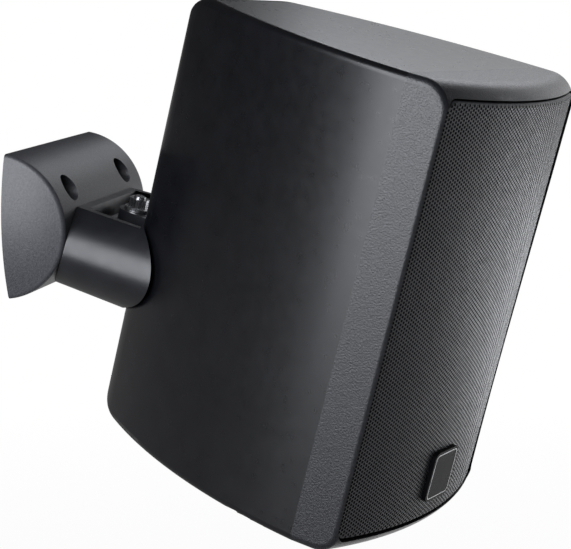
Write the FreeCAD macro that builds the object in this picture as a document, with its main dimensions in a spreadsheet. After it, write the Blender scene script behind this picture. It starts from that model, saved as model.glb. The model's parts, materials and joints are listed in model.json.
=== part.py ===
import FreeCAD, Part
import math
import os
import re
import Sketcher

# Compact two-way loudspeaker on a tilting and swivelling wall bracket.
# World frame: the wall is the plane Y = 0, the room is at -Y, +Z is up, and the origin lies on the
# wall, midway between the bracket's two screw holes. Pieces are drawn in three local frames:
#   cabinet: X across, Y back from the bezel's front plane, Z up from mid height
#   arm: X across, Y back towards the wall, Z up, origin on the swivel axis at arm mid height
#   base: X across, Y towards the wall, Z up, origin on the tilt axis

doc = FreeCAD.newDocument("loudspeaker")
sheet = doc.addObject("Spreadsheet::Sheet", "Sizes")

SIZES = {
    # Cabinet
    "cabinet_height": 225,
    "cabinet_depth": 177,
    "front_width": 152,
    "bezel_flare": 3,
    "bezel_bow": 12.2,
    "bezel_depth": 21.2,
    "nose_half_width": 1.84,
    "tail_radius": 40,
    "shell_wall": 4,
    "edge_round": 4,
    "front_edge_round": 3.2,
    "top_front_round": 14,
    "bottom_front_round": 11,
    "top_rear_round": 30,
    "bottom_rear_round": 24,
    "rear_overrun": 1.2,
    "post_radius": 8,
    "post_length": 22,
    "post_side_inset": 10,
    "post_end_inset": 12.5,
    # Baffle and grille
    "grille_recess": 7,
    "baffle_thick": 6,
    "rebate_depth": 3,
    "rebate_clearance": 0.2,
    "grille_side_margin": 2,
    "grille_top_margin": 7,
    "grille_bottom_margin": 7.8,
    "grille_bow": 12,
    "grille_set_back": 0.8,
    "grille_sheet": 1,
    "grille_clearance": 1,
    "grille_corner": 6,
    "badge_size": 26,
    "badge_corner": 4,
    "badge_thick": 2,
    "badge_height": 30.5,
    "case_screw_head": 3.2,
    "case_screw_head_thick": 2.2,
    "case_screw_shank": 1.7,
    "case_screw_reach": 12,
    # Driver layout on the baffle
    "driver_side_margin": 12,
    "driver_bottom_margin": 12.5,
    "driver_top_margin": 21.5,
    "driver_gap": 9,
    # Woofer
    "woofer_ledge": 8,
    "woofer_screw_inset": 4,
    "basket_clearance": 0.5,
    "basket_wall": 1.5,
    "basket_foot": 40,
    "basket_foot_bore": 28,
    "basket_depth": 36,
    "basket_window": 10,
    "basket_window_inset": 16,
    "basket_window_margin": 4,
    "cone_inset": 18,
    "cone_wall": 0.96,
    "cone_sheet": 0.8,
    "cone_depth": 19,
    "surround_width": 7,
    "surround_roll": 3,
    "coil_radius": 13,
    "coil_wall": 0.5,
    "coil_gap": 0.7,
    "coil_lead": 1,
    "coil_overhang": 4,
    "spider_shelf": 30,
    "spider_set_back": 6,
    "spider_sheet": 0.7,
    "top_plate_radius": 36,
    "top_plate_thick": 5,
    "magnet_radius": 40,
    "magnet_bore": 18,
    "magnet_thick": 14,
    "back_plate_thick": 5,
    "cap_rise": 6,
    # Tweeter
    "tweeter_plate": 29,
    "tweeter_opening": 23,
    "tweeter_motor": 22.5,
    "tweeter_motor_depth": 24,
    "tweeter_throat": 15,
    "tweeter_flare": 3,
    "tweeter_screw_circle": 26,
    "dome_radius": 12.5,
    "dome_rim": 14.8,
    "dome_rise": 4,
    "dome_sheet": 0.6,
    # Small driver screws
    "driver_screw_head": 2.5,
    "driver_screw_head_thick": 2,
    "driver_screw_shank": 1.4,
    "driver_screw_reach": 12,
    # Crossover
    "board_width": 68,
    "board_length": 62,
    "board_gap": 7,
    "board_thick": 1.6,
    "board_stand": 6,
    "board_hole_inset": 5,
    "pillar_radius": 3.5,
    "board_screw_head": 2.6,
    "board_screw_head_thick": 1.8,
    "board_screw_shank": 1.25,
    "board_screw_reach": 6,
    "inductor_radius": 15,
    "inductor_bore": 6,
    "inductor_tall": 14,
    "capacitor_radius": 6.5,
    "capacitor_length": 26,
    "capacitor_pitch": 15.6,
    "resistor_length": 24,
    "resistor_side": 9,
    "pad_width": 64,
    "pad_length": 80,
    "pad_thick": 32,
    "pad_gap": 5,
    "pad_seat": 0.2,
    # Rear block, terminal cup and swivel lug
    "block_width": 54,
    "block_depth": 22,
    "block_top": 128,
    "block_bottom": 10,
    "cup_height": 34,
    "cup_seat": 9,
    "cup_width": 46,
    "cup_tall": 40,
    "cup_flange": 2,
    "cup_rim": 4,
    "cup_wall": 2,
    "cup_deep": 16,
    "cup_clearance": 0.2,
    "cup_screw_inset": 2.6,
    "cup_screw_head": 1.9,
    "cup_screw_head_thick": 1.4,
    "cup_screw_shank": 0.9,
    "cup_screw_reach": 7,
    "lever_width": 13,
    "lever_tall": 19.5,
    "lever_thick": 3,
    "lever_space": 1.5,
    "lever_knuckle": 3,
    "lever_axis_drop": 7,
    "lever_axis_depth": 6.5,
    "pin_radius": 1.25,
    "pin_clearance": 0.05,
    "contact_width": 6,
    "contact_tall": 12,
    "contact_thick": 1,
    "lug_seat": 7,
    "lug_width": 34,
    "lug_tall": 50,
    "lug_plate": 4,
    "lug_corner": 2,
    "lug_clearance": 0.2,
    "lug_thick": 6,
    "lug_end": 9.5,
    "lug_screw_side": 12,
    "lug_screw_rise": 18,
    "lug_screw_head": 3,
    "lug_screw_head_thick": 2,
    "lug_screw_shank": 1.6,
    "lug_screw_reach": 10,
    # Bracket
    "tilt_down": 13.84,
    "swivel_turn": 12.97,
    "swivel_limit": 13.5,
    "tilt_level_reach": 14,
    "tilt_down_reach": 8,
    "swivel_stand_off": 14.5,
    "arm_drop": 28.3,
    "arm_reach": 53.3,
    "base_radius": 38,
    "base_length": 108.5,
    "base_dome": 6,
    "base_wall": 3,
    "base_edge_round": 2.5,
    "wall_inset": 5.4,
    "wall_screw_spacing": 70,
    "wall_screw_rise": 19,
    "wall_screw_hole": 2.5,
    "access_hole": 6.5,
    "access_boss": 8.8,
    "wall_pad": 4,
    "saddle_clearance": 0.3,
    "saddle_wall": 4,
    "sleeve_wall": 1.8,
    "sleeve_rear_half": 51.5,
    "sleeve_rear_rise": 26.4,
    "sleeve_front_half": 57.5,
    "sleeve_front_rise": 31.6,
    "sleeve_drop": 3,
    "sleeve_front": 38.5,
    "sleeve_corner": 13,
    "sleeve_corner_drop": 1,
    "window_level": 18,
    "window_front": 18,
    "nose_clearance": 1.5,
    "swivel_boss": 12,
    "swivel_boss_top": 10,
    "swivel_play": 0.2,
    "swivel_bolt": 3,
    "swivel_bolt_clearance": 0.1,
    "swivel_bolt_end": 24,
    "swivel_head_across": 5,
    "swivel_head_thick": 4,
    "swivel_head_level": 20,
    "washer_radius": 7,
    "washer_thick": 1.5,
    "nut_across": 5,
    "nut_thick": 5,
    "clamp_side": 18,
    "clamp_angle": 8,
    "clamp_shank": 2,
    "clamp_head": 4,
    "clamp_head_thick": 3,
    "clamp_head_room": 0.5,
    "clamp_flat": 0.6,
    "clamp_slot_side": 0.5,
    "clamp_slot_angle": 5,
    "nut_bar_half": 23,
    "nut_bar_inner": 31,
    "nut_bar_gap": 0.5,
    "nut_bar_angle": 9,
}
# Sizes that follow from the ones above
FOLLOWING = {
    "crease_width": "front_width + 2 * bezel_flare",
    "grille_width": "front_width - 2 * grille_side_margin",
    # The flank's arc runs square off the bezel and closes on the tail's arc
    "nose_reach": "crease_width / 2 - nose_half_width",
    "flank_run": "cabinet_depth - tail_radius - bezel_depth",
    "flank_square": "nose_reach * nose_reach + flank_run * flank_run - tail_radius * tail_radius",
    "flank_radius": "flank_square / (2 * (nose_reach - tail_radius))",
    # The woofer is as large as the baffle's width and the height below the tweeter allow
    "woofer_room": "cabinet_height - driver_bottom_margin - driver_gap - driver_top_margin",
    "woofer_flange": "min(grille_width / 2 - driver_side_margin; woofer_room / 2 - tweeter_plate)",
    "woofer_height": "driver_bottom_margin + woofer_flange",
    "woofer_opening": "woofer_flange - woofer_ledge",
    "woofer_screw_circle": "woofer_flange - woofer_screw_inset",
    "basket_window_circle": "woofer_flange - basket_window_inset",
    "cone_edge": "woofer_flange - cone_inset",
    "tweeter_height": "cabinet_height - driver_top_margin - tweeter_plate",
    "block_start": "cabinet_depth - block_depth",
    "board_start": "block_start - board_gap - board_length",
    "pad_start": "block_start - pad_gap - pad_length",
}
ALIASES = {**SIZES, **FOLLOWING}
for row, (alias, size) in enumerate(ALIASES.items(), start=1):
    sheet.set(f"A{row}", alias)
    sheet.set(f"B{row}", f"={size}")
    sheet.setAlias(f"B{row}", alias)
doc.recompute()

WORD = re.compile(r"[a-z][a-z_0-9]*")
PLANE_TURNED = {"XY_Plane": False, "XZ_Plane": True, "YZ_Plane": False}
OVERSHOOT = 2
TOUCHING = 0.01
SHARP_ANGLE = 12
SCREW_COUNT = 4
FIRST_SCREW_ANGLE = 45
nodes = {}


# Expressions in the sheet's words

def bound(text):
    def qualify(word):
        return "Sizes." + word.group() if word.group() in ALIASES else word.group()
    return WORD.sub(qualify, str(text))


def number(text):
    return float(sheet.evalExpression(bound(text)))


def bind(item, path, text):
    item.setExpression(path, bound(text))


def mirrored(outline):
    """Right half of an outline, from its lowest point upwards, and its mirror image."""
    left = []
    for index in range(len(outline) - 1, -1, -1):
        x, y = outline[index][:2]
        curve = outline[index - 1][2:] if index else ()
        left.append((f"-({x})", y, *curve))
    return list(outline) + left


def rounded_box(x0, x1, y0, y1, radius):
    return [
        (f"{x0} + {radius}", y0), (f"{x1} - {radius}", y0, radius, 1),
        (x1, f"{y0} + {radius}"), (x1, f"{y1} - {radius}", radius, 1),
        (f"{x1} - {radius}", y1), (f"{x0} + {radius}", y1, radius, 1),
        (x0, f"{y1} - {radius}"), (x0, f"{y0} + {radius}", radius, 1),
    ]


def box_outline(x0, x1, y0, y1):
    return [(x0, y0), (x1, y0), (x1, y1), (x0, y1)]


# Sketches and features

def arc_between(start, end, radius, turn):
    chord = end - start
    middle = (start + end) * 0.5
    side = FreeCAD.Vector(-chord.y, chord.x, 0).normalize() * turn
    rise = math.sqrt(max(radius ** 2 - (chord.Length / 2) ** 2, 0))
    centre = middle + side * rise
    first, last = (start, end) if turn > 0 else (end, start)
    angles = [math.atan2(p.y - centre.y, p.x - centre.x) for p in (first, last)]
    circle = Part.Circle(centre, FreeCAD.Vector(0, 0, 1), radius)
    return Part.ArcOfCircle(circle, *angles), (1, 2) if turn > 0 else (2, 1)


def fix_point(drawing, index, place, x, y):
    for kind, text in (("DistanceX", x), ("DistanceY", y)):
        constraint = drawing.addConstraint(
            Sketcher.Constraint(kind, -1, 1, index, place, number(text)))
        bind(drawing, f"Constraints[{constraint}]", text)


def fix_radius(drawing, index, radius):
    constraint = drawing.addConstraint(Sketcher.Constraint("Radius", index, number(radius)))
    bind(drawing, f"Constraints[{constraint}]", radius)


def draw_outline(drawing, outline):
    corners = [FreeCAD.Vector(number(v[0]), number(v[1]), 0) for v in outline]
    ends = []
    first = drawing.GeometryCount
    for index, vertex in enumerate(outline):
        start, end = corners[index], corners[(index + 1) % len(outline)]
        if len(vertex) == 2:
            drawing.addGeometry(Part.LineSegment(start, end))
            ends.append((1, 2))
        else:
            arc, order = arc_between(start, end, number(vertex[2]), vertex[3])
            fix_radius(drawing, drawing.addGeometry(arc), vertex[2])
            ends.append(order)
    for index, vertex in enumerate(outline):
        following = (index + 1) % len(outline)
        drawing.addConstraint(Sketcher.Constraint(
            "Coincident", first + index, ends[index][1], first + following, ends[following][0]))
        fix_point(drawing, first + index, ends[index][0], vertex[0], vertex[1])


def draw_circles(drawing, circles):
    for x, y, radius in circles:
        centre = FreeCAD.Vector(number(x), number(y), 0)
        circle = Part.Circle(centre, FreeCAD.Vector(0, 0, 1), number(radius))
        index = drawing.addGeometry(circle)
        fix_point(drawing, index, 3, x, y)
        fix_radius(drawing, index, radius)


def sketch(body, plane, level, outline=(), circles=()):
    drawing = body.newObject("Sketcher::SketchObject", "Sketch")
    support = [p for p in body.Origin.OriginFeatures if p.Role == plane][0]
    drawing.AttachmentSupport = (support, [""])
    drawing.MapMode = "FlatFace"
    sign = "-" if PLANE_TURNED[plane] else ""
    bind(drawing, "AttachmentOffset.Base.z", f"{sign}({level})")
    if outline:
        draw_outline(drawing, outline)
    draw_circles(drawing, circles)
    return drawing


def new_body(name):
    return doc.addObject("PartDesign::Body", name)


def pad(body, plane, start, end, outline=(), circles=()):
    feature = body.newObject("PartDesign::Pad", "Pad")
    feature.Profile = sketch(body, plane, start, outline, circles)
    feature.Reversed = PLANE_TURNED[plane]
    bind(feature, "Length", f"({end}) - ({start})")
    return feature


def padded(name, plane, start, end, outline=(), circles=()):
    body = new_body(name)
    pad(body, plane, start, end, outline, circles)
    return body


def pocket(body, plane, start, end, outline=(), circles=()):
    doc.recompute()
    before = body.Shape.Volume
    feature = body.newObject("PartDesign::Pocket", "Pocket")
    feature.Profile = sketch(body, plane, start, outline, circles)
    feature.Reversed = not PLANE_TURNED[plane]
    bind(feature, "Length", f"({end}) - ({start})")
    doc.recompute()
    if body.Shape.Volume >= before:
        raise RuntimeError(f"pocket cuts nothing in {body.Label}")
    return feature


def turned(name, outline, axis="V_Axis"):
    body = new_body(name)
    feature = body.newObject("PartDesign::Revolution", "Revolution")
    drawing = sketch(body, "XY_Plane", 0, outline)
    feature.Profile = drawing
    feature.ReferenceAxis = (drawing, [axis])
    feature.Angle = 360
    return body


AXIS_TURN = {
    "X": FreeCAD.Rotation(FreeCAD.Vector(0, 1, 0), 90),
    "Y": FreeCAD.Rotation(FreeCAD.Vector(1, 0, 0), -90),
    "Z": FreeCAD.Rotation(),
}


def place_at(item, x, y, z):
    for letter, text in zip("xyz", (x, y, z)):
        bind(item, f"Placement.Base.{letter}", text)


def cylinder(name, axis, at, radius, length):
    item = doc.addObject("Part::Cylinder", name)
    item.Placement.Rotation = AXIS_TURN[axis]
    bind(item, "Radius", radius)
    bind(item, "Height", length)
    place_at(item, *at)
    return item


def block(name, x, y, z):
    item = doc.addObject("Part::Box", name)
    for side, (low, high) in zip(("Length", "Width", "Height"), (x, y, z)):
        bind(item, side, f"({high}) - ({low})")
    place_at(item, x[0], y[0], z[0])
    return item


def combine(kind, name, base, *tools):
    for tool in tools:
        result = doc.addObject("Part::" + kind, name)
        result.Base = base
        result.Tool = tool
        base = result
    return base


def rounded_edges(name, base, choose, radius_at):
    """Round the edges of a solid that choose picks, with the radius that each vertex has."""
    doc.recompute()
    item = doc.addObject("Part::Fillet", name)
    item.Base = base
    chosen = []
    for index, edge in enumerate(base.Shape.Edges, start=1):
        if choose(base.Shape, edge):
            chosen.append((index, radius_at(edge.firstVertex()), radius_at(edge.lastVertex())))
    item.Edges = chosen
    return item


def is_sharp(shape, edge):
    """Whether the two faces beside an edge meet at a clear angle in its middle."""
    middle = edge.valueAt((edge.FirstParameter + edge.LastParameter) / 2)
    normals = []
    for face in shape.ancestorsOfType(edge, Part.Face):
        normals.append(face.normalAt(*face.Surface.parameter(middle)))
    return len(normals) == 2 and abs(normals[0].getAngle(normals[1])) > math.radians(SHARP_ANGLE)


def keep(label, item, placement):
    item.Label = label
    nodes[label] = item
    item.Placement = placement.multiply(item.Placement)


# Frames

def frame(x, y, z, axis=(1, 0, 0), angle=0):
    turn = FreeCAD.Rotation(FreeCAD.Vector(*axis), angle)
    return FreeCAD.Placement(FreeCAD.Vector(x, y, z), turn)


IN_BASE = frame(0, number("wall_inset"), -number("wall_screw_rise"))
IN_ARM = IN_BASE.multiply(frame(0, 0, 0, (1, 0, 0), number("tilt_down")))
IN_ARM = IN_ARM.multiply(frame(0, -number("arm_reach"), 0))
ON_SWIVEL = IN_ARM.multiply(frame(0, 0, 0, (0, 0, 1), -number("swivel_turn")))
IN_CABINET = ON_SWIVEL.multiply(
    frame(0, -number("cabinet_depth + swivel_stand_off"), number("arm_drop")))
AT_CLAMP = IN_BASE.multiply(
    frame(0, 0, 0, (1, 0, 0), number("tilt_down - clamp_angle")))

HALF_HEIGHT = "cabinet_height / 2"
INNER_TOP = f"({HALF_HEIGHT} - shell_wall)"
TAIL_Y = "(cabinet_depth - tail_radius)"
FLANK_X = "(crease_width / 2 - flank_radius)"
SPAN = "(flank_radius - tail_radius)"
TAIL_X = "nose_half_width"
BEFORE_BAFFLE = f"(grille_recess - {OVERSHOOT})"
BAFFLE_BACK = "(grille_recess + baffle_thick)"
FLANGE_SEAT = "(grille_recess + rebate_depth)"
BEHIND_FLANGE = f"({FLANGE_SEAT} + {OVERSHOOT})"
POST_X = "(crease_width / 2 - post_side_inset)"
POST_Z = "(cabinet_height / 2 - post_end_inset)"
POSTS = [(f"{sx}{POST_X}", f"{sz}{POST_Z}") for sx in ("", "-") for sz in ("", "-")]
WOOFER_Z = "(woofer_height - cabinet_height / 2)"
TWEETER_Z = "(tweeter_height - cabinet_height / 2)"


def on_circle(radius, first, height="0"):
    spots = []
    for index in range(SCREW_COUNT):
        angle = first + 360 / SCREW_COUNT * index
        spots.append((f"{radius} * cos({angle})", f"{height} + {radius} * sin({angle})"))
    return spots


def with_radius(spots, radius):
    return [(x, y, radius) for x, y in spots]


WOOFER_SCREWS = on_circle("woofer_screw_circle", FIRST_SCREW_ANGLE, WOOFER_Z)
TWEETER_SCREWS = on_circle("tweeter_screw_circle", FIRST_SCREW_ANGLE, TWEETER_Z)


def screws(label, plane, spots, seat, head, thick, shank, reach, placement, head_sign="-"):
    """Alike screws as one group: heads in front of the seat and shanks behind it."""
    body = new_body(label)
    body.AllowCompound = True
    if head_sign == "-":
        pad(body, plane, f"{seat} - {thick}", seat, circles=with_radius(spots, head))
        pad(body, plane, seat, f"{seat} + {reach}", circles=with_radius(spots, shank))
    else:
        pad(body, plane, seat, f"{seat} + {thick}", circles=with_radius(spots, head))
        pad(body, plane, f"{seat} - {reach}", seat, circles=with_radius(spots, shank))
    keep(label, body, placement)


# Cabinet outline

def plan_outline(inset, front=None):
    """Plan of the cabinet behind the bezel: two long flanks that close on a round tail."""
    half = f"(crease_width / 2 - ({inset}))"
    flank = f"(flank_radius - ({inset}))"
    tail = f"(tail_radius - ({inset}))"
    meet_x = f"({FLANK_X} + ({TAIL_X} - {FLANK_X}) / {SPAN} * {flank})"
    meet_y = f"(bezel_depth + ({TAIL_Y} - bezel_depth) / {SPAN} * {flank})"
    right = [
        (half, "bezel_depth", flank, 1),
        (meet_x, meet_y, tail, 1),
        (TAIL_X, f"cabinet_depth - ({inset})"),
    ]
    if front is not None:
        right.insert(0, (half, front))
    return mirrored(right)


def rear_side_outline(inset, front):
    """Side view, whose rear rounds reach a little past the tail and so meet it at an angle."""
    low = f"(-{HALF_HEIGHT} + {inset})"
    high = f"({HALF_HEIGHT} - {inset})"
    past_tail = "(cabinet_depth + rear_overrun)"
    rear = f"({past_tail} - {inset})"
    return [
        (front, low),
        (f"{past_tail} - bottom_rear_round", low, f"bottom_rear_round - {inset}", 1),
        (rear, f"-{HALF_HEIGHT} + bottom_rear_round"),
        (rear, f"{HALF_HEIGHT} - top_rear_round", f"top_rear_round - {inset}", 1),
        (f"{past_tail} - top_rear_round", high),
        (front, high),
    ]


def cabinet_form(name, inset, front):
    start = None if front == "bezel_depth" else front
    plan = padded(name + "_plan", "XY_Plane", f"-{HALF_HEIGHT}", HALF_HEIGHT,
                  plan_outline(inset, start))
    side = padded(name + "_side", "YZ_Plane", "-crease_width / 2", "crease_width / 2",
                  rear_side_outline(inset, front))
    return combine("Common", name, plan, side)


# Rear shell
LUG_Z = "(swivel_boss_top + swivel_play + lug_thick / 2 - arm_drop)"
CUP_Z = "(cup_height - cabinet_height / 2)"
CUP_SEAT = "(cabinet_depth - cup_seat)"
LUG_SEAT = "(cabinet_depth - lug_seat)"
PAST_TAIL = f"cabinet_depth + {OVERSHOOT}"
FLOOR = f"(-{INNER_TOP})"
BOARD_HOLES = [
    (f"{side}(board_width / 2 - board_hole_inset)", f"board_start + {along}")
    for side in ("", "-")
    for along in ("board_hole_inset", "board_length - board_hole_inset")
]
LUG_SCREWS = [(f"{sx}lug_screw_side", f"{LUG_Z} {sz} lug_screw_rise")
              for sx in ("", "-") for sz in ("+", "-")]
CUP_SCREWS = [(f"{sx}(cup_width / 2 - cup_screw_inset)",
               f"{CUP_Z} {sz} (cup_tall / 2 - cup_screw_inset)")
              for sx in ("", "-") for sz in ("+", "-")]


def around(centre, size, clearance="0"):
    return (f"{centre} - {size} / 2 - {clearance}", f"{centre} + {size} / 2 + {clearance}")


def shell_edge(shape, edge):
    box = edge.BoundBox
    on_front = box.YMax < number("bezel_depth") + TOUCHING
    return is_sharp(shape, edge) and not on_front


def cabinet_edge_radius(vertex):
    return number("front_edge_round" if vertex.Y < OVERSHOOT else "edge_round")


def make_cabinet_shell():
    outer = cabinet_form("shell_form", "0", "bezel_depth")
    rounded = rounded_edges("shell_rounded", outer, shell_edge, cabinet_edge_radius)
    cavity = cabinet_form("shell_cavity", "shell_wall", f"bezel_depth - {OVERSHOOT}")
    hollow = combine("Cut", "shell_hollow", rounded, cavity)
    rear_block = block("rear_block", around("0", "block_width"), ("block_start", PAST_TAIL),
                       (f"-{HALF_HEIGHT} + block_bottom", f"-{HALF_HEIGHT} + block_top"))
    posts = padded("shell_posts", "XZ_Plane", "bezel_depth", "bezel_depth + post_length",
                   circles=with_radius(POSTS, "post_radius"))
    pillars = padded("board_pillars", "XY_Plane", f"{FLOOR} - shell_wall / 2",
                     f"{FLOOR} + board_stand", circles=with_radius(BOARD_HOLES, "pillar_radius"))
    inside = combine("Fuse", "shell_inside", rear_block, posts, pillars)
    trimmed = combine("Common", "shell_inside_trimmed", inside, rounded)
    shell = combine("Fuse", "shell_solid", hollow, trimmed)
    cup_side = around(CUP_Z, "cup_tall", "cup_clearance")
    cuts = [
        block("cup_seat_cut", around("0", "cup_width", "cup_clearance"), (CUP_SEAT, PAST_TAIL),
              cup_side),
        block("cup_through_cut", around("0", "(cup_width - 2 * cup_rim)", "cup_clearance"),
              (f"block_start - {OVERSHOOT}", PAST_TAIL),
              around(CUP_Z, "(cup_tall - 2 * cup_rim)", "cup_clearance")),
        block("lug_seat_cut", around("0", "lug_width", "lug_clearance"), (LUG_SEAT, PAST_TAIL),
              around(LUG_Z, "lug_tall", "lug_clearance")),
        padded("lug_pilots", "XZ_Plane", f"{LUG_SEAT} - lug_screw_reach", LUG_SEAT,
               circles=with_radius(LUG_SCREWS, "lug_screw_shank")),
        padded("cup_pilots", "XZ_Plane", f"{CUP_SEAT} - cup_screw_reach", CUP_SEAT,
               circles=with_radius(CUP_SCREWS, "cup_screw_shank")),
        padded("post_pilots", "XZ_Plane", "bezel_depth", "bezel_depth + case_screw_reach",
               circles=with_radius(POSTS, "case_screw_shank")),
        padded("board_pilots", "XY_Plane", f"{FLOOR} + board_stand - board_screw_reach",
               f"{FLOOR} + board_stand",
               circles=with_radius(BOARD_HOLES, "board_screw_shank")),
    ]
    keep("cabinet_shell", combine("Cut", "cabinet_shell", shell, *cuts), IN_CABINET)


# Front bezel with its baffle board

BEZEL_R = "((front_width * front_width / 4 + bezel_bow * bezel_bow) / (2 * bezel_bow))"
BOW_CENTRE = f"({BEZEL_R} - bezel_bow)"


def front_ring_outline():
    """Section of the bowed front, drawn outwards from the upright axis of its bow."""
    inner = f"({BOW_CENTRE} - bezel_depth - {OVERSHOOT})"
    return [
        (inner, f"-{HALF_HEIGHT}"),
        (f"{BEZEL_R} - bottom_front_round", f"-{HALF_HEIGHT}", "bottom_front_round", 1),
        (BEZEL_R, f"-{HALF_HEIGHT} + bottom_front_round"),
        (BEZEL_R, f"{HALF_HEIGHT} - top_front_round", "top_front_round", 1),
        (f"{BEZEL_R} - top_front_round", HALF_HEIGHT),
        (inner, HALF_HEIGHT),
    ]


def bezel_form():
    ahead = "(2 * bezel_bow)"
    narrow = f"(front_width / 2 - bezel_flare * {ahead} / bezel_depth)"
    plan = padded("bezel_plan", "XY_Plane", f"-{HALF_HEIGHT}", HALF_HEIGHT, mirrored(
        [(narrow, f"-{ahead}"), ("crease_width / 2", "bezel_depth")]))
    ring = turned("bezel_ring", front_ring_outline())
    ring.Placement.Rotation = FreeCAD.Rotation(FreeCAD.Vector(1, 0, 0), 90)
    place_at(ring, "0", BOW_CENTRE, "0")
    return combine("Common", "bezel_form", plan, ring)


def bezel_edge(shape, edge):
    on_back = edge.BoundBox.YMin > number("bezel_depth") - TOUCHING
    return is_sharp(shape, edge) and not on_back


def grille_opening(gap):
    return rounded_box(
        f"-grille_width / 2 - {gap}", f"grille_width / 2 + {gap}",
        f"-{HALF_HEIGHT} + grille_bottom_margin - {gap}",
        f"{HALF_HEIGHT} - grille_top_margin + {gap}", f"(grille_corner + {gap})")


def make_front_bezel():
    rounded = rounded_edges("bezel_rounded", bezel_form(), bezel_edge, cabinet_edge_radius)
    recess = padded("bezel_recess", "XZ_Plane", "-2 * bezel_bow", "grille_recess",
                    grille_opening("grille_clearance"))
    back = padded("bezel_back", "XZ_Plane", BAFFLE_BACK, f"bezel_depth + {OVERSHOOT}",
                  rounded_box("-crease_width / 2 + shell_wall", "crease_width / 2 - shell_wall",
                              f"-{INNER_TOP}", INNER_TOP, "grille_corner"))
    bosses = padded("bezel_bosses", "XZ_Plane", BAFFLE_BACK, "bezel_depth",
                    circles=with_radius(POSTS, "post_radius"))
    hollow = combine("Cut", "bezel_hollow", rounded, recess, back)
    solid = combine("Fuse", "bezel_solid", hollow,
                    combine("Common", "bezel_bosses_trimmed", bosses, rounded))
    through = f"bezel_depth + {OVERSHOOT}"
    woofer, tweeter = ("0", WOOFER_Z), ("0", TWEETER_Z)
    cuts = [
        padded("driver_rebates", "XZ_Plane", BEFORE_BAFFLE, FLANGE_SEAT, circles=[
            (*woofer, "woofer_flange + rebate_clearance"),
            (*tweeter, "tweeter_plate + rebate_clearance")]),
        padded("driver_holes", "XZ_Plane", BEFORE_BAFFLE, through, circles=[
            (*woofer, "woofer_opening"), (*tweeter, "tweeter_opening")]),
        padded("case_screw_holes", "XZ_Plane", BEFORE_BAFFLE, through,
               circles=with_radius(POSTS, "case_screw_shank")),
        padded("driver_pilots", "XZ_Plane", BEFORE_BAFFLE, "grille_recess + driver_screw_reach",
               circles=with_radius(WOOFER_SCREWS + TWEETER_SCREWS, "driver_screw_shank")),
    ]
    keep("front_bezel", combine("Cut", "front_bezel", solid, *cuts), IN_CABINET)


# Grille: a bowed pan of sheet, open at the back, with a small plate on its face
GRILLE_R = "((grille_width * grille_width / 4 + grille_bow * grille_bow) / (2 * grille_bow))"


def grille_form(name, inset, back):
    half = f"grille_width / 2 - {inset}"
    shoulder = f"({GRILLE_R} - {inset})"
    reach = f"sqrt({shoulder} * {shoulder} - ({half}) * ({half}))"
    edge = f"{GRILLE_R} + grille_set_back - grille_bow - {reach}"
    bowed = padded(
        name + "_bow", "XY_Plane", f"-{HALF_HEIGHT}", HALF_HEIGHT,
        [(f"-({half})", edge, shoulder, 1), (half, edge), (half, back), (f"-({half})", back)])
    front = padded(name + "_front", "XZ_Plane", f"-2 * grille_bow - {OVERSHOOT}", back,
                   grille_opening(f"(-{inset})"))
    return combine("Common", name, bowed, front)


def make_grille():
    outer = grille_form("grille_form", "0", "grille_recess")
    inner = grille_form("grille_hollow", "grille_sheet", f"grille_recess + {OVERSHOOT}")
    keep("grille", combine("Cut", "grille", outer, inner), IN_CABINET)
    half = "badge_size / 2"
    face = "grille_set_back - grille_bow"
    middle = f"(badge_height - {HALF_HEIGHT})"
    badge = padded("badge_plate", "XZ_Plane", f"{face} - badge_thick", face, rounded_box(
        f"-{half}", half, f"{middle} - {half}", f"{middle} + {half}", "badge_corner"))
    keep("badge_plate", badge, IN_CABINET)


# Woofer, turned about its own axis
CONE_Y = FLANGE_SEAT
NECK_Y = f"({CONE_Y} + cone_depth)"
BASKET_BACK = f"({FLANGE_SEAT} + basket_depth)"
MAGNET_Y = f"({BASKET_BACK} + top_plate_thick)"
BACK_PLATE_Y = f"({MAGNET_Y} + magnet_thick)"
POLE = "(coil_radius - coil_gap)"
COIL_OUT = "(coil_radius + coil_wall)"
COIL_FRONT = f"({NECK_Y} - coil_lead)"
SPIDER_Y = f"({NECK_Y} + spider_set_back)"


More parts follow.
